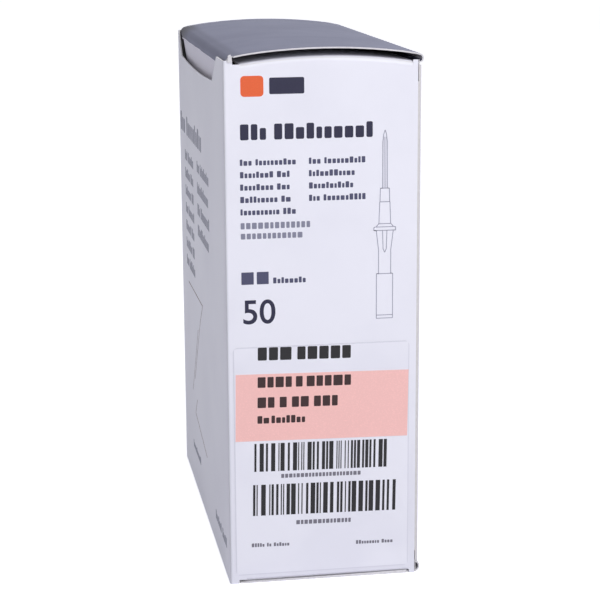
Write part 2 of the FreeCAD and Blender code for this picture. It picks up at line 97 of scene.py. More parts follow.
class Number:
    """A number inside a material: sums on it add Math nodes."""

    def __init__(self, paint: "Paint", socket: bpy.types.NodeSocket) -> None:
        """Wrap one output socket of a paint's nodes."""
        self.paint = paint
        self.socket = socket

    def _sum(self, operation: str, *terms: "Number | float") -> "Number":
        """Add one Math node on the terms."""
        made = self.paint.node("ShaderNodeMath", {"operation": operation}, dict(enumerate(terms)))
        return Number(self.paint, made.outputs[0])

    def __add__(self, other: "Number | float") -> "Number":
        """Sum of the two."""
        return self._sum("ADD", self, other)

    __radd__ = __add__

    def __sub__(self, other: "Number | float") -> "Number":
        """This less the other."""
        return self._sum("SUBTRACT", self, other)

    def __rsub__(self, other: float) -> "Number":
        """The other less this."""
        return self._sum("SUBTRACT", other, self)

    def __mul__(self, other: "Number | float") -> "Number":
        """Product of the two."""
        return self._sum("MULTIPLY", self, other)

    __rmul__ = __mul__

    def __abs__(self) -> "Number":
        """Size without its sign."""
        return self._sum("ABSOLUTE", self)

    def __or__(self, other: "Number | float") -> "Number":
        """The larger of the two, which joins two masks."""
        return self._sum("MAXIMUM", self, other)

    def sine(self) -> "Number":
        """Sine of an angle in radians."""
        return self._sum("SINE", self)

    def rise(self, low: float, high: float) -> "Number":
        """Smooth step from 0 at low to 1 at high.

        Args:
            low: value where the step begins.
            high: value where the step ends, below low for a falling step.

        Returns:
            The step, from 0 to 1.
        """
        falling = high < low
        inputs = {"Value": self, "From Min": min(low, high), "From Max": max(low, high)}
        made = self.paint.node("ShaderNodeMapRange", {"interpolation_type": "SMOOTHSTEP"}, inputs)
        step = Number(self.paint, made.outputs["Result"])
        return 1.0 - step if falling else step


class Paint:
    """Nodes of one material around a Principled surface."""

    def __init__(self, name: str, **constants: float) -> None:
        """Start a material.

        Args:
            name: name of the material.
            constants: values that are the same all over, by socket name with _ for a space.
        """
        self.material = bpy.data.materials.new(name)
        self.material.use_nodes = True
        self.tree = self.material.node_tree
        self.surface = self.tree.nodes["Principled BSDF"]
        for socket, value in constants.items():
            self.surface.inputs[socket.replace("_", " ")].default_value = value
        self.texture = self.node("ShaderNodeTexCoord")

    def node(self, kind: str, settings: dict | None = None, inputs: dict | None = None) -> bpy.types.Node:
        """Add one node.

        Args:
            kind: type of the node.
            settings: properties that are set first.
            inputs: values or links of its sockets, by name or number.

        Returns:
            The node.
        """
        made = self.tree.nodes.new(kind)
        for name, value in (settings or {}).items():
            setattr(made, name, value)
        for name, value in (inputs or {}).items():
            self.feed(made.inputs[name], value)
        return made

    def feed(self, socket: bpy.types.NodeSocket, value: object) -> None:
        """Give a socket a link or a constant."""
        source = value.socket if isinstance(value, Number) else value
        if isinstance(source, bpy.types.NodeSocket):
            self.tree.links.new(source, socket)
        else:
            socket.default_value = source

    def split(self, output: str) -> tuple[Number, Number, Number]:
        """X, Y and Z of a coordinate output, such as Object or Normal."""
        made = self.node("ShaderNodeSeparateXYZ", inputs={0: self.texture.outputs[output]})
        return Number(self, made.outputs[0]), Number(self, made.outputs[1]), Number(self, made.outputs[2])

    def noise(self, size: float, detail: float = 2.0,
              stretch: tuple[float, float, float] = (1, 1, 1)) -> Number:
        """Soft random pattern, from 0 to 1.

        Args:
            size: distance between its patches, in millimetres.
            detail: how many finer layers it has.
            stretch: how many times longer it is along each axis.

        Returns:
            The pattern.
        """
        scale = tuple(1 / part for part in stretch)
        placed = self.node("ShaderNodeMapping", {}, {
            "Vector": self.texture.outputs["Object"], "Scale": scale})
        made = self.node("ShaderNodeTexNoise", {}, {
            "Vector": placed.outputs[0], "Scale": 1 / (size * MM), "Detail": detail})
        return Number(self, made.outputs["Fac"])

    def mix(self, factor: "Number | float", first: object, second: object) -> bpy.types.NodeSocket:
        """Colour between two colours."""
        made = self.node("ShaderNodeMix", {"data_type": "RGBA"}, {0: factor, 6: first, 7: second})
        return made.outputs[2]

    def relief(self, height: Number, depth: float, strength: float = 1.0) -> None:
        """Bump the surface.

        Args:
            height: pattern of the relief, from 0 to 1.
            depth: its full height, in millimetres.
            strength: how much of it shows.
        """
        made = self.node("ShaderNodeBump", {}, {
            "Height": height, "Distance": depth * MM, "Strength": strength})
        self.feed(self.surface.inputs["Normal"], made.outputs[0])

    def finish(self, colour: object, roughness: object) -> bpy.types.Material:
        """Set the colour and the roughness, and give the material."""
        self.feed(self.surface.inputs["Base Color"], colour)
        self.feed(self.surface.inputs["Roughness"], roughness)
        return self.material


@dataclass(frozen=True)
class PrintedBoard:
    """Coated board of the tube: smooth white outside, grey-white lining inside, fibres at cut edges."""

    coated: Colour = screen(232, 232, 242)
    shaded: Colour = screen(224, 224, 235)
    lining: Colour = screen(208, 206, 208)
    lining_dark: Colour = screen(190, 187, 188)
    fibre: Colour = screen(226, 224, 227)
    # Painted shade: colour that the outside darkens towards near the foot, and the heights in millimetres
    # where this begins and ends.
    dulled: Colour = screen(205, 205, 218)
    dull_from: float = 110.0
    dull_to: float = -10.0
    flap_top: float = 6.0
    flap_foot: float = 3.0
    wall_reach: float = 0.22
    thickness: float = 0.5

    def material(self, box: Box) -> bpy.types.Material:
        """Make the board's material.

        Args:
            box: corners of the carton's body.

        Returns:
            The material.
        """
        paint = Paint("printed_board", Specular_IOR_Level=0.45)
        x, y, z = paint.split("Object")
        turn_x, _, turn_z = paint.split("Normal")
        half_board = self.thickness * MM / 2
        middle_x = box[1].x - half_board
        middle_y = box[1].y - half_board
        blur = 0.1 * MM
        flap_top = box[1].z - self.flap_top * MM
        flap_foot = self.flap_foot * MM
        wall = self.wall_reach * MM
        outside = (abs(x).rise(middle_x - blur, middle_x + blur)
                   | abs(y).rise(middle_y - blur, middle_y + blur)
                   | z.rise(flap_top, flap_top + blur) * turn_z.rise(0.3, 0.4)
                   | z.rise(flap_foot, flap_foot - blur) * turn_z.rise(-0.3, -0.4))
        in_wall = (abs(abs(x) - middle_x).rise(wall, wall - 0.04 * MM)
                   | abs(abs(y) - middle_y).rise(wall, wall - 0.04 * MM))
        cut = in_wall * (abs(turn_z).rise(0.5, 0.6) | abs(turn_x).rise(0.9, 0.95))
        flap_side = abs(x).rise(middle_x - 0.6 * MM, middle_x - 0.7 * MM) * abs(turn_x).rise(0.9, 0.95)
        clouds = paint.noise(38, 3)
        fibres = paint.noise(0.5, 4, (1, 1, 3))
        coated = paint.mix(clouds.rise(0.35, 0.75) * 0.6, self.coated, self.shaded)
        # Painted shade: the coated outside darkens towards the foot, at most 30 % of the way to that colour.
        coated = paint.mix(z.rise(self.dull_from * MM, self.dull_to * MM) * 0.3, coated, self.dulled)
        lined = paint.mix(fibres.rise(0.3, 0.8) * 0.5, self.lining, self.lining_dark)
        colour = paint.mix(outside, lined, coated)
        colour = paint.mix((cut | flap_side) * (0.7 + 0.3 * fibres), colour, self.fibre)
        grain = paint.noise(0.35, 2)
        waves = paint.noise(30, 1)
        paint.relief(grain * 0.02 + waves * 0.98, 0.3, 0.35)
        return paint.finish(colour, 0.8 - outside * (0.4 - 0.06 * clouds))


@dataclass(frozen=True)
class DarkPrint:
    """Dark slate print on the outside of the lid and of the bottom closure, worn to the fibre at folds, with
    painted shade on its left slope and in its back left corner.
    """

    slate: Colour = screen(125, 128, 155)
    deep: Colour = screen(117, 120, 147)
    fibre: Colour = screen(222, 222, 230)
    # Bare board under the print, painted lighter than the board's own white as painted light that lifts the
    # shade under the lid.
    bare: Colour = screen(243, 240, 250)
    # Painted shade: darker colour laid on the left slope, where the board rolls down over the tuck.
    dusk: Colour = screen(80, 82, 108)
    # Painted shade: near-black colour laid in the back left corner, with the depth and width of its patch
    # below.
    bruise: Colour = screen(34, 33, 44)
    slope_reach: tuple[float, float] = (6.4, 3.4)
    bruise_depth: tuple[float, float] = (36.0, 6.0)
    bruise_width: tuple[float, float] = (8.0, 1.5)
    tuck_reach: tuple[float, float] = (3.2, 3.1)
    streak_back: float = 72.7
    # Strength of both the painted corner shade and the real wear to the fibre.
    wear: float = 0.85

    def material(self, name: str, box: Box, print_edge: float) -> bpy.types.Material:
        """Make the print's material.

        Args:
            name: name of the material.
            box: corners of the cover.
            print_edge: height in metres where the print ends on the tuck flap.

        Returns:
            The material.
        """
        paint = Paint(name, Specular_IOR_Level=0.3)
        x, y, z = paint.split("Object")
        clouds = paint.noise(24, 3)
        specks = paint.noise(1.1, 3)
        dashes = paint.noise(5, 2, (3, 1, 1))
        colour = paint.mix(clouds.rise(0.3, 0.7), self.slate, self.deep)
        left, right, back = box[0].x, box[1].x, box[1].y
        # Painted shade: the left slope is darkened up to 55 % of the way to the shade colour.
        slope = x.rise(*(left + reach * MM for reach in self.slope_reach))
        colour = paint.mix(slope * 0.55, colour, self.dusk)
        # Painted shade: a dark patch in the back left corner, where the gap under the lid lies in shadow.
        corner = (y.rise(*(back - depth * MM for depth in self.bruise_depth))
                  * x.rise(*(left + width * MM for width in self.bruise_width)))
        colour = paint.mix(corner * self.wear, colour, self.bruise)
        rim = abs(y).rise(back - 0.5 * MM, back - 0.05 * MM) * specks.rise(0.46, 0.6)
        fold = x.rise(right - 0.5 * MM, right - 0.1 * MM) * specks.rise(0.56, 0.66)
        streak = abs(y - self.streak_back * MM).rise(1.1 * MM, 0.6 * MM) * dashes.rise(0.53, 0.57)
        worn = (rim | fold | streak) * self.wear
        colour = paint.mix(worn, colour, self.fibre)
        # Below the print edge on the tuck the bare board shows, painted extra light.
        on_tuck = x.rise(*(left + reach * MM for reach in self.tuck_reach))
        wander = (paint.noise(16, 1) - 0.5) * 0.8 * MM
        low = (z + wander - print_edge) if print_edge > box[1].z / 2 else (print_edge - z - wander)
        colour = paint.mix(on_tuck * low.rise(0.1 * MM, -0.1 * MM), colour, self.bare)
        waves = paint.noise(26, 1)
        grain = paint.noise(0.4, 2)
        paint.relief(grain * 0.02 + waves * 0.98, 0.35, 0.4)
        return paint.finish(colour, 0.55 + 0.08 * specks + 0.2 * worn)


@dataclass(frozen=True)
class BareBoard:
    """Unprinted side or cut edge of the board, with its fibres."""

    light: Colour = screen(226, 225, 229)
    dark: Colour = screen(204, 202, 206)
    fibre_size: float = 0.5

    def material(self, name: str) -> bpy.types.Material:
        """Make the material under a name."""
        paint = Paint(name, Specular_IOR_Level=0.3)
        fibres = paint.noise(self.fibre_size, 4, (3, 1, 1))
        clouds = paint.noise(14, 2)
        colour = paint.mix(fibres.rise(0.3, 0.75) * 0.7 + clouds * 0.2, self.light, self.dark)
        paint.relief(fibres, 0.04, 0.5)
        return paint.finish(colour, 0.82)


class Ink(Enum):
    """Inks of the carton, the label and the packs."""

    NAVY = screen(24, 23, 52)
    SLATE = screen(70, 71, 98)
    MIST = screen(128, 129, 148)
    LINE = screen(150, 150, 168)
    BLACK = screen(14, 12, 18)
    BROWN = screen(44, 22, 24)
    SMOKE = screen(112, 110, 122)
    PINK = screen(241, 190, 186)
    ORANGE = screen(224, 96, 50)
    UMBER = screen(120, 98, 104)

    def material(self) -> bpy.types.Material:
        """Material of this ink, made once."""
        name = "ink_" + self.name.lower()
        known = bpy.data.materials.get(name)
        if known:
            return known
        paint = Paint(name, Specular_IOR_Level=0.35)
        specks = paint.noise(0.5, 3)
        lighter = tuple(part * 1.08 + 0.004 for part in self.value[:3]) + (1.0,)
        colour = paint.mix(specks.rise(0.45, 0.8), self.value, lighter)
        return paint.finish(colour, 0.46 + 0.1 * specks)


@dataclass(frozen=True)
class LabelPaper:
    """Satin label paper, with its cut edge and a thin band along its rim painted grey as shade."""

    face: Colour = screen(231, 231, 241)
    soft: Colour = screen(226, 226, 237)
    # Painted shade: grey of the cut edge and of the band along the rim, and how far that band reaches in.
    edge: Colour = screen(150, 150, 164)
    rim: Colour = screen(196, 196, 210)
    rim_reach: tuple[float, float] = (0.45, 0.2)

    def material(self, box: Box) -> bpy.types.Material:
        """Make the paper's material.

        Args:
            box: corners of the label.

        Returns:
            The material.
        """
        paint = Paint("label_paper", Specular_IOR_Level=0.5)
        x, _, z = paint.split("Object")
        _, turn_y, _ = paint.split("Normal")
        clouds = paint.noise(22, 2)
        middle = (box[0] + box[1]) / 2
        half = (box[1] - box[0]) / 2
        # Painted shade: a thin band along the label's border is darkened, half way to the rim grey.
        rim = (abs(x - middle.x).rise(*(half.x - reach * MM for reach in self.rim_reach))
               | abs(z - middle.z).rise(*(half.z - reach * MM for reach in self.rim_reach)))
        sheet = paint.mix(clouds.rise(0.3, 0.7), self.face, self.soft)
        flat = paint.mix(rim * 0.5, sheet, self.rim)
        # Painted shade: faces that turn away from the front take the grey of the cut edge.
        colour = paint.mix(abs(turn_y).rise(0.6, 0.4), flat, self.edge)
        paint.relief(paint.noise(0.3, 2) * 0.03 + paint.noise(18, 1), 0.1, 0.3)
        return paint.finish(colour, 0.36 + 0.08 * clouds)


@dataclass(frozen=True)
class PackFinish:
    """Lidding paper and formed film of a unit pack."""

    paper: Colour = screen(238, 237, 238)
    fibre: Colour = screen(224, 223, 226)
    film: Colour = screen(214, 220, 226)
    haze: Colour = screen(232, 236, 240)
    seal_pitch: float = 1.2

    def lidding(self) -> bpy.types.Material:
        """Paper with the fine diamond pattern of its heat seal."""
        paint = Paint("pack_paper", Specular_IOR_Level=0.3)
        x, y, _ = paint.split("Object")
        rate = math.tau / (self.seal_pitch * MM)
        diamonds = ((x + y) * rate).sine() * ((x - y) * rate).sine()
        fibres = paint.noise(0.4, 4)
        colour = paint.mix(fibres.rise(0.35, 0.75), self.paper, self.fibre)
        paint.relief(diamonds * 0.5 + fibres * 0.5, 0.05, 0.6)
        return paint.finish(colour, 0.7 + 0.1 * fibres)

    def blister(self) -> bpy.types.Material:
        """Milky formed film."""
        paint = Paint("pack_film", Specular_IOR_Level=0.6)
        clouds = paint.noise(9, 2)
        colour = paint.mix(clouds.rise(0.3, 0.7), self.film, self.haze)
        paint.relief(paint.noise(4, 2), 0.2, 0.4)
        return paint.finish(colour, 0.22 + 0.1 * clouds)


def clear_selection() -> None:
    """Leave every object unselected."""
    bpy.ops.object.select_all(action="DESELECT")


def choose(piece: bpy.types.Object) -> None:
    """Select one object only and make it the active one."""
    clear_selection()
    piece.select_set(True)
    bpy.context.view_layer.objects.active = piece


def blank(name: str, mesh: bpy.types.Mesh | None = None) -> bpy.types.Object:
    """New object at the origin, with a mesh of its own."""
    piece = bpy.data.objects.new(name, mesh or bpy.data.meshes.new(name))
    bpy.context.scene.collection.objects.link(piece)
    choose(piece)
    return piece


def settle(piece: bpy.types.Object, place: Matrix) -> None:
    """Put an object in its place and bake the place into its mesh."""
    choose(piece)
    piece.matrix_world = place
    bpy.ops.object.transform_apply(location=True, rotation=True, scale=True)


def pull(shift: Vector) -> None:
    """Extrude what is selected by a shift in millimetres, along the frame's own axes."""
    bpy.ops.mesh.extrude_region_move(TRANSFORM_OT_translate={"value": shift * MM, "orient_type": "GLOBAL"})


def slab(name: str, low: Vector, size: Vector) -> bpy.types.Object:
    """Add a box.

    Args:
        name: name of the piece.
        low: its low corner, in metres.
        size: its size, in metres.

    Returns:
        The box, with its place baked into its mesh.
    """
    clear_selection()
    bpy.ops.mesh.primitive_cube_add(size=1.0, location=low + size / 2, scale=size)
    piece = bpy.context.object
    piece.name = name
    bpy.ops.object.transform_apply(location=True, rotation=True, scale=True)
    return piece


def give(piece: bpy.types.Object, body: str) -> None:
    """Let a piece ride on a body and report it.

    Args:
        piece: the finished piece.
        body: CAD body that it moves with.
    """
    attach(piece, body)
    LOG.info("%s rides on %s, %d faces", piece.name, body, len(piece.data.polygons))


class Face(Enum):
    """Flat outer faces of the carton that carry print: direction to the reader's right, and outwards."""

    FRONT = (Vector((1, 0, 0)), Vector((0, -1, 0)))
    LEFT = (Vector((0, -1, 0)), Vector((-1, 0, 0)))
    PACK = (Vector((0, -1, 0)), Vector((0, 0, 1)))

    def place(self, origin: Vector, tilt: float = 0.0) -> Matrix:
        """Frame of the face: X to the reader's right, Z outwards.

        Args:
            origin: point of the face where its measures start.
            tilt: turn of the print in its face, in degrees against the clock.

        Returns:
            The matrix from the flat print to its face.
        """
        right, out = self.value
        up = out.cross(right)
        turned = Matrix((right, up, out)).transposed().to_4x4()
        return Matrix.Translation(origin) @ turned @ Matrix.Rotation(math.radians(tilt), 4, "Z")


class PrintSheet:
    """Marks of one ink on one face: bars and strokes, laid flat and then set in their place."""

    film = 0.03

    def __init__(self, name: str, ink: Ink, rounding: float = 0.0) -> None:
        """Start an empty sheet.

        Args:
            name: name of the piece.
            ink: ink of all its marks.
            rounding: radius of the marks' corners, in millimetres.
        """
        self.piece = blank(name)
        self.ink = ink
        self.rounding = rounding
        bpy.ops.object.mode_set(mode="EDIT")

    def stroke(self, start: tuple[float, float], end: tuple[float, float], width: float) -> None:
        """Straight stroke between the middles of its ends, in millimetres."""
        bpy.ops.mesh.select_all(action="DESELECT")
        one, other = Vector((*start, 0)) * MM, Vector((*end, 0)) * MM
        run = other - one
        centre = (one + other) / 2
        bpy.ops.mesh.primitive_plane_add(size=1.0, location=centre)
        bpy.ops.transform.resize(value=(run.length, width * MM, 1), center_override=centre)
        angle = math.atan2(run.y, run.x)
        if angle:
            bpy.ops.transform.rotate(value=-angle, orient_axis="Z", center_override=centre)

    def bar(self, left: float, low: float, width: float, height: float) -> None:
        """Upright bar from its low left corner, in millimetres."""
        middle = low + height / 2
        self.stroke((left, middle), (left + width, middle), height)

    def outline(self, points: list[tuple[float, float]], width: float) -> None:
        """Strokes along a line of points."""
        for start, end in zip(points, points[1:]):
            self.stroke(start, end, width)

    def set_in(self, place: Matrix) -> None:
        """Round the marks, give them their thickness and set them in their place on the carton.

        Args:
            place: frame of the face.
        """
        bpy.ops.mesh.select_all(action="SELECT")
        if self.rounding:
            bpy.ops.mesh.bevel(offset_type="OFFSET", offset=self.rounding * MM, segments=3,
                               affect="VERTICES")
        pull(Vector((0, 0, self.film)))
        bpy.ops.mesh.select_all(action="SELECT")
        bpy.ops.mesh.normals_make_consistent(inside=False)
        bpy.ops.object.mode_set(mode="OBJECT")
        settle(self.piece, place)
        self.piece.data.materials.append(self.ink.material())
        give(self.piece, "carton")


@dataclass(frozen=True)
class WordRow:
    """A row of words, each shown as small plain blocks of uneven width and height, in millimetres."""

    left: float
    low: float
    height: float
    words: tuple[float, ...]
    gap: float = 1.3
    tall: float = 0.34
    tall_share: float = 0.3
    block_gap: float = 0.24

    def lay(self, sheet: PrintSheet) -> None:
        """Lay the row's blocks on a sheet."""
        dice = random.Random(round(self.left * 10) * 1000 + round(self.low * 10))
        left = self.left
        for width in self.words:
            count = max(1, round(width / (self.height * 0.88)))
            shares = [dice.uniform(0.75, 1.25) for _ in range(count)]
            room = width - (count - 1) * self.block_gap * self.height
            start = left
            for number, share in enumerate(shares):
                block = room * share / sum(shares)
                rise = self.tall if number == 0 or dice.random() < self.tall_share else 0.0
                sheet.bar(start, self.low, block, self.height * (1 + rise))
                start += block + self.block_gap * self.height
            left += width + self.gap


@dataclass(frozen=True)
class BarPattern:
    """Generic bars of random widths between two limits, in millimetres."""

    left: float
    right: float
    low: float
    height: float
    seed: int
    module: float = 0.36

    def lay(self, sheet: PrintSheet) -> None:
        """Lay the bars on a sheet."""
        dice = random.Random(self.seed)
        left = self.left
        while left < self.right:
            width = min(dice.choice((1, 1, 1, 2, 2, 3, 4)) * self.module, self.right - left)
            sheet.bar(left, self.low, width, self.height)
            left += width + dice.choice((1, 1, 2, 2, 3)) * self.module


@dataclass
class FrontPrint:
    """Print on the front panel: measures from the middle of its foot, in millimetres."""

    column: float = -27.9
    second_column: float = -4.9
    row_pitch: float = 4.13
    first_row: float = 145.6
    row_height: float = 1.55
    drawing_x: float = 20.8
    line_width: float = 0.26
    needle_half: float = 0.28
    needle_line: float = 0.2

    def build(self, place: Matrix) -> None:
        """Make every print sheet of the front panel.

        Args:
            place: frame of the front face.
        """
        badge = PrintSheet("front_badge_block", Ink.ORANGE, 1.2)
        badge.bar(-27.4, 168.2, 7.6, 6.8)
        badge.set_in(place)
        title = PrintSheet("front_title_blocks", Ink.NAVY, 0.5)
        title.bar(-17.9, 168.9, 11.6, 5.4)
        WordRow(-27.7, 154.0, 3.9, (8.6, 33.0), 2.7, block_gap=0.2).lay(title)
        title.set_in(place)
        self.columns(place)
        self.count(place)
        self.drawing(place)

    def columns(self, place: Matrix) -> None:
        """Rows of small words in two columns, and the two paler rows under them."""
        rows = PrintSheet("front_word_rows", Ink.SLATE, 0.22)
        first = ((3.9, 13.4), (11.0, 4.2), (11.0, 4.2), (12.4, 3.1), (13.0, 4.2))
        second = ((3.9, 13.8), (15.4,), (14.9,), (3.6, 14.2))
        for left, words_of_rows in ((self.column, first), (self.second_column, second)):
            for number, words in enumerate(words_of_rows):
                WordRow(left, self.first_row - number * self.row_pitch, self.row_height, words).lay(rows)
        WordRow(self.column, 105.6, 4.2, (9.2,), tall=0.0).lay(rows)
        WordRow(-17.2, 105.7, 1.5, (11.0,)).lay(rows)
        rows.set_in(place)
        pale = PrintSheet("front_pale_rows", Ink.MIST, 0.25)
        WordRow(self.column, 124.4, 2.1, (23.3,), tall=0.0).lay(pale)
        WordRow(self.column, 121.0, 1.9, (20.7,), tall=0.0).lay(pale)
        pale.set_in(place)

    def count(self, place: Matrix) -> None:
        """Plain numerals that give the number of packs."""
        clear_selection()
        bpy.ops.object.text_add()
        piece = bpy.context.object
        piece.name = "front_count_numerals"
        piece.data.body = str(len(PACKS))
        piece.data.size = 11.6 * MM
        piece.data.offset = 0.12 * MM
        piece.data.extrude = PrintSheet.film * MM / 2
        bpy.ops.object.convert(target="MESH")
        bpy.ops.object.mode_set(mode="EDIT")
        bpy.ops.mesh.select_all(action="SELECT")
        bpy.ops.mesh.remove_doubles(threshold=0.001 * MM)
        bpy.ops.mesh.normals_make_consistent(inside=False)
        bpy.ops.object.mode_set(mode="OBJECT")
        low = Vector((self.column, 92.2, PrintSheet.film / 2)) * MM
        settle(piece, place @ Matrix.Translation(low))
        piece.data.materials.clear()
        piece.data.materials.append(Ink.NAVY.material())
        give(piece, "carton")

    def drawing(self, place: Matrix) -> None:
        """Thin line drawing of a plain cannula, point upwards."""
        lines = PrintSheet("front_cannula_drawing", Ink.LINE)
        profile = [(0.0, 156.2), (0.45, 154.9), (0.75, 152.3), (0.8, 136.8), (1.55, 136.6), (1.65, 132.2),
                   (1.75, 132.0), (2.0, 124.8), (2.9, 123.7), (3.7, 123.5), (3.7, 122.4), (2.9, 122.4),
                   (2.1, 115.7), (2.1, 107.7), (2.8, 107.6), (2.8, 92.2), (0.0, 92.2)]
        groove = [(0.75, 122.4), (0.55, 116.1), (0.0, 114.9)]
        rings = [(1.55, 136.7), (1.75, 132.1), (2.0, 124.7), (2.9, 123.6), (3.7, 122.4), (2.8, 107.6),
                 (2.8, 93.3)]
        for side in (-1, 1):
            lines.outline([(self.drawing_x + side * x, z) for x, z in profile], self.line_width)
            needle = self.drawing_x + side * self.needle_half
            lines.stroke((needle, 153.9), (needle, 136.8), self.needle_line)
            lines.outline([(self.drawing_x + side * x, z) for x, z in groove], self.line_width)
        for half, z in rings:
            lines.stroke((self.drawing_x - half, z), (self.drawing_x + half, z), self.line_width)
        lines.set_in(place)


@dataclass
class SidePrint:
    """Print on the left panel: measures from the middle of its foot, back edge at the left."""

    column: float = -55.4
    first_row: float = 130.2
    row_pitch: float = 7.1
    second_column: float = -10.9
    second_row: float = 131.4
    second_pitch: float = 8.1
    line_width: float = 0.45

    def build(self, place: Matrix) -> None:
        """Make every print sheet of the left panel.

        Args:
            place: frame of the left face.
        """
        title = PrintSheet("side_title_blocks", Ink.MIST, 0.9)
        WordRow(-70.5, 140.6, 5.6, (17.0, 53.0), 5.8).lay(title)
        title.set_in(place)
        rows = PrintSheet("side_word_rows", Ink.MIST, 0.4)
        for number in range(7):
            words = ((8.5, 20.0), (18.0, 9.5), (21.0, 6.5))[number % 3]
            WordRow(self.column, self.first_row - number * self.row_pitch, 3.0, words, 2.2).lay(rows)
        for number in range(4):
            words = ((8.5, 27.5), (36.0,))[number % 2]
            low = self.second_row - number * self.second_pitch
            WordRow(self.second_column, low, 3.2, words, 2.4).lay(rows)
        WordRow(-42.8, 14.2, 2.2, (27.0,)).lay(rows)
        WordRow(34.0, 10.0, 2.6, (17.0, 12.5), 3.0).lay(rows)
        rows.set_in(place)
        drawing = PrintSheet("side_cannula_drawing", Ink.UMBER)
        for points in ([(-50.2, 81.1), (0.5, 82.0), (-9.0, 73.6), (-21.6, 58.4), (-32.2, 45.2)],
                       [(-17.3, 68.6), (-41.0, 38.5)],
                       [(-25.2, 38.2), (-32.2, 31.2), (7.5, 24.8)]):
            drawing.outline(points, self.line_width)
        drawing.set_in(place)


@dataclass
class Label:
    """Paper label on the front panel, with its print, in millimetres from the middle of the foot."""

    tilt: float = -0.9
    band_low: float = 50.75
    band_height: float = 23.5
    band_left: float = -30.8
    band_width: float = 59.65
    text_left: float = -23.3

    def build(self, node: bpy.types.Object, box: Box) -> None:
        """Dress the label and lay its print.

        Args:
            node: the label's solid.
            box: its corners.
        """
        node.data.materials.clear()
        node.data.materials.append(LabelPaper().material(box))
        middle = Vector(((box[0].x + box[1].x) / 2, box[0].y, (box[0].z + box[1].z) / 2))
        foot = Matrix.Translation(Vector((-middle.x, -middle.z, 0)))
        place = Face.FRONT.place(middle, self.tilt) @ foot
        over = place @ Matrix.Translation(Vector((0, 0, PrintSheet.film * MM)))
        band = PrintSheet("label_colour_band", Ink.PINK)
        band.bar(self.band_left, self.band_low, self.band_width, self.band_height)
        band.set_in(place)
        bold = PrintSheet("label_bold_row", Ink.BLACK, 0.35)
        WordRow(self.text_left, 79.0, 4.5, (11.5, 18.4), 2.0, tall=0.0, block_gap=0.16).lay(bold)
        bold.set_in(place)
        words = PrintSheet("label_band_rows", Ink.BROWN, 0.3)
        WordRow(self.text_left, 69.5, 3.7, (11.7, 2.3, 15.3), 1.4, tall=0.0, block_gap=0.17).lay(words)
        WordRow(self.text_left, 62.4, 3.7, (5.8, 2.4, 5.8, 8.2), 1.8, tall=0.0, block_gap=0.17).lay(words)
        WordRow(self.text_left, 56.9, 2.0, (4.0, 11.6), 0.8, block_gap=0.2).lay(words)
        words.set_in(over)
        bars = PrintSheet("label_bar_patterns", Ink.BLACK)
        BarPattern(-24.3, 22.5, 39.8, 10.0, 11).lay(bars)
        BarPattern(-24.7, 25.2, 24.0, 11.1, 29, 0.4).lay(bars)
        bars.set_in(place)
        small = PrintSheet("label_small_rows", Ink.SMOKE, 0.15)
        WordRow(-15.0, 37.3, 1.4, (27.7,), tall=0.0).lay(small)
        WordRow(-9.6, 20.3, 1.5, (19.1,), tall=0.0).lay(small)
        WordRow(-25.1, 12.7, 1.0, (4.4, 1.5, 5.4), 0.9).lay(small)
        WordRow(11.5, 12.1, 1.0, (8.2, 3.9), 0.9).lay(small)
        small.set_in(place)


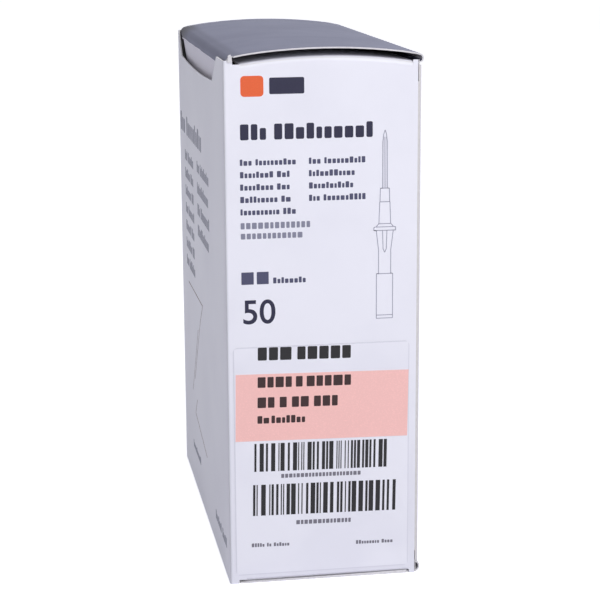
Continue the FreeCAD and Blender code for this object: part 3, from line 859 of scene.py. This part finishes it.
@dataclass
class Cover:
    """Lid or bottom closure as one sheet of board with a crease that joins it to the right panel."""

    name: str
    node: str
    body: str
    crease: tuple[tuple[float, float, float], ...]
    blend_reach: float
    print_edge: float
    rim_depth: float = 0.6
    rim_rise: float = 0.65
    end_reach: float = 6.0
    weld: float = 0.002

    def build(self, panel_edge: Vector) -> None:
        """Copy the cover's solid, add its crease and dress it.

        Args:
            panel_edge: middle of the right panel's edge where the crease starts; not used.
        """
        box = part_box(self.node)
        piece = blank(self.name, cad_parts[self.node].data.copy())
        bpy.ops.mesh.customdata_custom_splitnormals_clear()
        bpy.ops.object.mode_set(mode="EDIT")
        bpy.ops.mesh.select_all(action="SELECT")
        bpy.ops.mesh.remove_doubles(threshold=self.weld * MM)
        bpy.ops.object.mode_set(mode="OBJECT")
        self.add_crease(piece)
        if self.body == "closure":
            self.crush_rim(piece, box)
        self.dress(piece, box)
        choose(piece)
        bpy.ops.object.shade_smooth_by_angle(angle=math.radians(35))
        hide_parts(self.node)
        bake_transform(piece)
        LOG.info("%s folds between carton and %s, %d faces",
                 piece.name, self.body, len(piece.data.polygons))

    def add_crease(self, piece: bpy.types.Object) -> None:
        """Run the board from the end of its fold to the right panel."""
        sense = 1 if self.body == "lid" else -1
        high = max(vertex.co.x for vertex in piece.data.vertices)
        ends = [face for face in piece.data.polygons
                if face.normal.x < -0.95 and face.center.x > high - self.end_reach * MM]
        last = min(sense * face.center.z for face in ends)
        for face in piece.data.polygons:
            face.select = face in ends and sense * face.center.z < last + 0.3 * MM
        for vertex in piece.data.vertices:
            vertex.select = False
        for edge in piece.data.edges:
            edge.select = False
        bpy.context.tool_settings.mesh_select_mode = (False, False, True)
        bpy.ops.object.mode_set(mode="EDIT")
        for shift_x, shift_z, turn in self.crease:
            pull(Vector((shift_x, 0, shift_z)))
            bpy.ops.object.mode_set(mode="OBJECT")
            chosen = [face for face in piece.data.polygons if face.select]
            centre = sum((face.center for face in chosen), Vector()) / max(1, len(chosen))
            bpy.ops.object.mode_set(mode="EDIT")
            bpy.ops.transform.rotate(value=math.radians(turn), orient_axis="Y", center_override=centre)
        bpy.ops.object.mode_set(mode="OBJECT")

    def crush_rim(self, piece: bpy.types.Object, box: Box) -> None:
        """Let the board's cut rim stand a little thicker, as it does where it carries the carton."""
        choose(piece)
        bpy.ops.object.mode_set(mode="EDIT")
        for side in (-1, 1):
            bpy.ops.mesh.select_all(action="SELECT")
            rim = side * (box[1].y - self.rim_depth * MM)
            bpy.ops.mesh.bisect(plane_co=(0, rim, 0), plane_no=(0, 1, 0))
        bpy.ops.mesh.select_all(action="DESELECT")
        bpy.ops.object.mode_set(mode="OBJECT")
        board = PrintedBoard.thickness * MM
        for vertex in piece.data.vertices:
            place = vertex.co
            vertex.select = (abs(place.y) > box[1].y - 0.1 * MM and abs(place.z - board) < 0.1 * MM
                             and box[0].x + 3.5 * MM < place.x < box[1].x - 4 * MM)
        bpy.context.tool_settings.mesh_select_mode = (True, False, False)
        bpy.ops.object.mode_set(mode="EDIT")
        bpy.ops.transform.translate(value=(0, 0, self.rim_rise * MM))
        bpy.ops.object.mode_set(mode="OBJECT")

    def dress(self, piece: bpy.types.Object, box: Box) -> None:
        """Give the outside its print, and the inside and the cut edges bare board."""
        piece.data.materials.clear()
        piece.data.materials.append(DarkPrint().material(self.name + "_print", box, self.print_edge))
        piece.data.materials.append(BareBoard().material(self.name + "_board"))
        middle = (CAD_MIDDLE.x, CAD_MIDDLE.z)
        for face in piece.data.polygons:
            out = face.normal.x * (face.center.x - middle[0]) + face.normal.z * (face.center.z - middle[1])
            face.material_index = 0 if out > 0 and abs(face.normal.y) < 0.7 else 1


@dataclass
class TornCorner:
    """Small tongue of white fibre that stands up where a corner of the board was torn."""

    name: str
    low: tuple[float, float, float]
    size: tuple[float, float, float]
    steps: tuple[tuple[float, float, float, float], ...]

    def build(self) -> None:
        """Draw the tongue up from its root, step by step, each shifted and narrowed."""
        piece = slab(self.name, Vector(self.low) * MM, Vector(self.size) * MM)
        for face in piece.data.polygons:
            face.select = face.normal.z > 0.9
        bpy.context.tool_settings.mesh_select_mode = (False, False, True)
        bpy.ops.object.mode_set(mode="EDIT")
        centre = Vector(self.low) + Vector((self.size[0] / 2, self.size[1] / 2, self.size[2]))
        for shift_x, shift_y, shift_z, share in self.steps:
            shift = Vector((shift_x, shift_y, shift_z))
            pull(shift)
            centre += shift
            bpy.ops.transform.resize(value=(share, share, 1), center_override=centre * MM)
        bpy.ops.object.mode_set(mode="OBJECT")
        piece.data.materials.append(BareBoard().material(self.name + "_fibre"))
        bpy.ops.object.shade_smooth_by_angle(angle=math.radians(50))
        give(piece, "carton")


@dataclass
class PackStack:
    """Sealed unit packs: one is modelled, and each place of the stack gets its own copy."""

    rim: float = 1.8
    paper: float = 0.5
    step: float = 1.6
    margin: float = 2.2
    floor_inset: float = 0.8
    mark_film: float = 0.02

    FIELD = ((-66.0, -7.6, 22.0, 15.2),)
    WORDS = ((-38.0, 2.6, 30.0, 3.0), (-38.0, -1.6, 19.0, 1.6), (-17.0, -1.6, 12.0, 1.6),
             (-38.0, -4.8, 26.0, 1.6), (6.0, 3.4, 14.0, 1.5), (6.0, 0.6, 22.0, 1.5),
             (6.0, -2.2, 18.0, 1.5), (6.0, -5.0, 11.0, 1.5), (44.0, -5.5, 1.2, 11.0),
             (46.4, -5.5, 0.7, 11.0), (48.2, -5.5, 2.0, 11.0), (51.6, -5.5, 0.7, 11.0),
             (53.4, -5.5, 1.4, 11.0), (56.0, -5.5, 0.7, 11.0), (58.0, -5.5, 2.0, 11.0))

    def build(self) -> None:
        """Model the pack and set a copy in every place."""
        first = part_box(PACKS[0])
        model = self.model(first[1] - first[0])
        for node in PACKS:
            low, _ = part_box(node)
            piece = blank(node.replace("unit_pack", "sealed_pack"), model.data.copy())
            settle(piece, Matrix.Translation(low))
            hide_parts(node)
            give(piece, "carton")
        bpy.data.objects.remove(model)

    def model(self, size: Vector) -> bpy.types.Object:
        """One pack with its low corner at the origin.

        Args:
            size: overall size of the pack, in metres.

        Returns:
            The model.
        """
        finish = PackFinish()
        paper_size = Vector((size.x, size.y, self.paper * MM))
        paper = slab("pack_lidding", Vector((0, 0, size.z - paper_size.z)), paper_size)
        self.soften(paper, 1.6, 0.15)
        paper.data.materials.append(finish.lidding())
        rim = self.rim * MM
        form = slab("pack_blister", Vector((rim, rim, 0)),
                    Vector((size.x - 2 * rim, size.y - 2 * rim, size.z - paper_size.z)))
        self.shape(form)
        form.data.materials.append(finish.blister())
        marks = self.marks(size)
        clear_selection()
        for piece in [form] + marks + [paper]:
            piece.select_set(True)
        bpy.context.view_layer.objects.active = paper
        bpy.ops.object.join()
        bpy.ops.object.shade_smooth_by_angle(angle=math.radians(35))
        return paper

    def soften(self, piece: bpy.types.Object, corner: float, rim: float) -> None:
        """Round a slab's upright corners, then all its edges."""
        for edge in piece.data.edges:
            one, other = (piece.data.vertices[number].co for number in edge.vertices)
            edge.select = abs(one.z - other.z) > abs(one.x - other.x) + abs(one.y - other.y)
        bpy.context.tool_settings.mesh_select_mode = (False, True, False)
        bpy.ops.object.mode_set(mode="EDIT")
        bpy.ops.mesh.bevel(offset=corner * MM, segments=4)
        bpy.ops.object.mode_set(mode="OBJECT")
        soft = piece.modifiers.new("rim", "BEVEL")
        soft.width = rim * MM
        soft.segments = 2
        soft.limit_method = "ANGLE"
        bpy.ops.object.modifier_apply(modifier=soft.name)

    def shape(self, piece: bpy.types.Object) -> None:
        """Give the blister its drawn sides and its stepped floor."""
        choose(piece)
        for face in piece.data.polygons:
            face.select = face.normal.z < -0.9
        bpy.context.tool_settings.mesh_select_mode = (False, False, True)
        bpy.ops.object.mode_set(mode="EDIT")
        bpy.ops.transform.translate(value=(0, 0, self.step * MM))
        bpy.ops.mesh.inset(thickness=self.margin * MM)
        pull(Vector((0, 0, -self.step)))
        bpy.ops.mesh.inset(thickness=self.floor_inset * MM)
        bpy.ops.object.mode_set(mode="OBJECT")
        self.soften(piece, 1.4, 0.45)

    def marks(self, size: Vector) -> list[bpy.types.Object]:
        """Colour field and word bars on the lidding."""
        place = Face.PACK.place(Vector((size.x / 2, size.y / 2, size.z - self.mark_film * MM)))
        made = []
        for name, ink, bars in (("pack_field", Ink.PINK, self.FIELD), ("pack_words", Ink.SLATE, self.WORDS)):
            piece = blank(name)
            bpy.ops.object.mode_set(mode="EDIT")
            for left, low, width, height in bars:
                centre = Vector((left + width / 2, low + height / 2, 0)) * MM
                bpy.ops.mesh.select_all(action="DESELECT")
                bpy.ops.mesh.primitive_plane_add(size=1.0, location=centre)
                bpy.ops.transform.resize(value=(width * MM, height * MM, 1), center_override=centre)
            bpy.ops.mesh.select_all(action="SELECT")
            pull(Vector((0, 0, self.mark_film)))
            bpy.ops.mesh.select_all(action="SELECT")
            bpy.ops.mesh.normals_make_consistent(inside=False)
            bpy.ops.object.mode_set(mode="OBJECT")
            settle(piece, place)
            piece.data.materials.append(ink.material())
            made.append(piece)
        return made


@dataclass(frozen=True)
class Lamp:
    """Square soft light that faces the carton: lengths in metres, power in watts."""

    name: str
    place: tuple[float, float, float]
    size: float
    power: float
    colour: tuple[float, float, float] = (1.0, 1.0, 1.0)


@dataclass
class Studio:
    """Camera, floor and soft lights: angles in degrees, lengths in metres."""

    camera_place: tuple[float, float, float] = (-0.10169, -0.65007, 0.22938)
    camera_turn: float = 9.238
    camera_drop: float = 12.552
    camera_roll: float = -0.363
    focal_length: float = 106.655
    sensor: float = 36.0
    ambient: float = 0.375
    background: float = 1.0
    sky: Colour = (0.94, 0.945, 1.0, 1.0)
    floor_size: float = 14.0
    floor_glow: float = 0.78
    floor_colour: Colour = screen(214, 214, 226)
    key: Lamp = Lamp("key_light", (0.48, -1.18, 0.80), 1.3, 16.3, (1.0, 0.995, 0.965))
    back: Lamp = Lamp("back_light", (0.60, 1.30, 0.30), 1.2, 1.2)
    target: tuple[float, float, float] = (0.0, 0.0, 0.09)

    def build(self) -> None:
        """Set up the view, the floor, the world and the lights."""
        bpy.context.scene.view_settings.view_transform = "Standard"
        self.camera()
        self.floor()
        self.world()
        self.light(self.key)
        self.light(self.back)

    def camera(self) -> None:
        """Add the camera at the viewing angle."""
        data = bpy.data.cameras.new("view")
        data.lens = self.focal_length
        data.sensor_width = self.sensor
        data.clip_start = 0.01
        data.clip_end = 100.0
        view = bpy.data.objects.new("view", data)
        bpy.context.scene.collection.objects.link(view)
        turn = (Matrix.Rotation(-math.radians(self.camera_turn), 4, "Z")
                @ Matrix.Rotation(math.radians(90 - self.camera_drop), 4, "X")
                @ Matrix.Rotation(math.radians(self.camera_roll), 4, "Z"))
        view.matrix_world = Matrix.Translation(Vector(self.camera_place)) @ turn
        bpy.context.scene.camera = view

    def seen(self, tree: bpy.types.NodeTree) -> bpy.types.NodeSocket:
        """Mask of the rays that show the background: camera, glossy and transmission rays."""
        path = tree.nodes.new("ShaderNodeLightPath")
        joined = path.outputs["Is Camera Ray"]
        for ray in ("Is Glossy Ray", "Is Transmission Ray"):
            larger = tree.nodes.new("ShaderNodeMath")
            larger.operation = "MAXIMUM"
            tree.links.new(joined, larger.inputs[0])
            tree.links.new(path.outputs[ray], larger.inputs[1])
            joined = larger.outputs[0]
        return joined

    def floor(self) -> None:
        """Add the pale floor, which keeps the carton's shadow."""
        clear_selection()
        bpy.ops.mesh.primitive_plane_add(size=self.floor_size)
        piece = bpy.context.object
        piece.name = "studio_floor"
        material = bpy.data.materials.new("pale_floor")
        material.use_nodes = True
        tree = material.node_tree
        tree.nodes.clear()
        matt = tree.nodes.new("ShaderNodeBsdfDiffuse")
        matt.inputs["Color"].default_value = self.floor_colour
        glow = tree.nodes.new("ShaderNodeEmission")
        strength = tree.nodes.new("ShaderNodeMath")
        strength.operation = "MULTIPLY"
        tree.links.new(self.seen(tree), strength.inputs[0])
        strength.inputs[1].default_value = self.floor_glow
        tree.links.new(strength.outputs[0], glow.inputs["Strength"])
        both = tree.nodes.new("ShaderNodeAddShader")
        tree.links.new(matt.outputs[0], both.inputs[0])
        tree.links.new(glow.outputs[0], both.inputs[1])
        out = tree.nodes.new("ShaderNodeOutputMaterial")
        tree.links.new(both.outputs[0], out.inputs["Surface"])
        piece.data.materials.append(material)

    def world(self) -> None:
        """Light the scene evenly, and show white behind it."""
        world = bpy.data.worlds.new("studio")
        bpy.context.scene.world = world
        world.use_nodes = True
        tree = world.node_tree
        back = tree.nodes["Background"]
        seen = self.seen(tree)
        tint = tree.nodes.new("ShaderNodeMix")
        tint.data_type = "RGBA"
        tree.links.new(seen, tint.inputs[0])
        tint.inputs[6].default_value = self.sky
        tint.inputs[7].default_value = (1, 1, 1, 1)
        tree.links.new(tint.outputs[2], back.inputs["Color"])
        level = tree.nodes.new("ShaderNodeMapRange")
        tree.links.new(seen, level.inputs["Value"])
        level.inputs["To Min"].default_value = self.ambient
        level.inputs["To Max"].default_value = self.background
        tree.links.new(level.outputs["Result"], back.inputs["Strength"])

    def light(self, lamp: Lamp) -> None:
        """Add one lamp that faces the carton.

        Args:
            lamp: its place, size, power and colour.
        """
        data = bpy.data.lights.new(lamp.name, "AREA")
        data.shape = "SQUARE"
        data.size = lamp.size
        data.energy = lamp.power
        data.color = lamp.colour
        piece = bpy.data.objects.new(lamp.name, data)
        bpy.context.scene.collection.objects.link(piece)
        piece.location = lamp.place
        aim = Vector(self.target) - Vector(lamp.place)
        piece.rotation_euler = aim.to_track_quat("-Z", "Y").to_euler()


PACKS = sorted(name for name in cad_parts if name.startswith("unit_pack"))
CAD_MIDDLE = (Vector(CAD_BOX[0]) + Vector(CAD_BOX[1])) / 2
# Each step of a crease: shift in X and Z in millimetres, then turn about Y in degrees.
LID_CREASE = ((-0.25, -0.20, 55), (0.15, -0.45, 65), (0.65, -0.35, -30))
CLOSURE_CREASE = ((-0.20, 0.25, -50), (0.60, 0.35, -70), (0.55, -0.05, 30))
# Heights in metres where the creases leave the right panel.
LID_EDGE = 0.17725
CLOSURE_EDGE = 0.0043
# Each step of the torn corner: shift in X, Y and Z in millimetres, then how much of its width stays.
TORN_STEPS = ((0.1, -0.1, 0.7, 0.85), (-0.15, -0.1, 0.6, 0.8), (0.2, 0.0, 0.45, 0.6))


def main() -> None:
    """Dress the carton, piece by piece."""
    logging.basicConfig(level=logging.INFO, format="%(name)s: %(message)s")
    body_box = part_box("carton_body")
    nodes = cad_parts
    nodes["carton_body"].data.materials.clear()
    nodes["carton_body"].data.materials.append(PrintedBoard().material(body_box))
    front = Face.FRONT.place(Vector((0, body_box[0].y, 0)))
    left = Face.LEFT.place(Vector((body_box[0].x, 0, 0)))
    FrontPrint().build(front)
    SidePrint().build(left)
    Label().build(nodes["front_label"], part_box("front_label"))
    panel_x = body_box[1].x - PrintedBoard.thickness * MM / 2
    lid = Cover("lid_board", "lid", "lid", LID_CREASE, blend_reach=2.9, print_edge=0.1776)
    lid.build(Vector((panel_x, 0, LID_EDGE)))
    closure = Cover("bottom_closure_board", "bottom_closure", "closure", CLOSURE_CREASE,
                    blend_reach=3.2, print_edge=0.0032)
    closure.build(Vector((panel_x, 0, CLOSURE_EDGE)))
    TornCorner("torn_front_corner", (-31.6, -75.3, 179.3), (1.5, 0.3, 0.9), TORN_STEPS).build()
    PackStack().build()
    Studio().build()


if __name__ == "__main__":
    main()
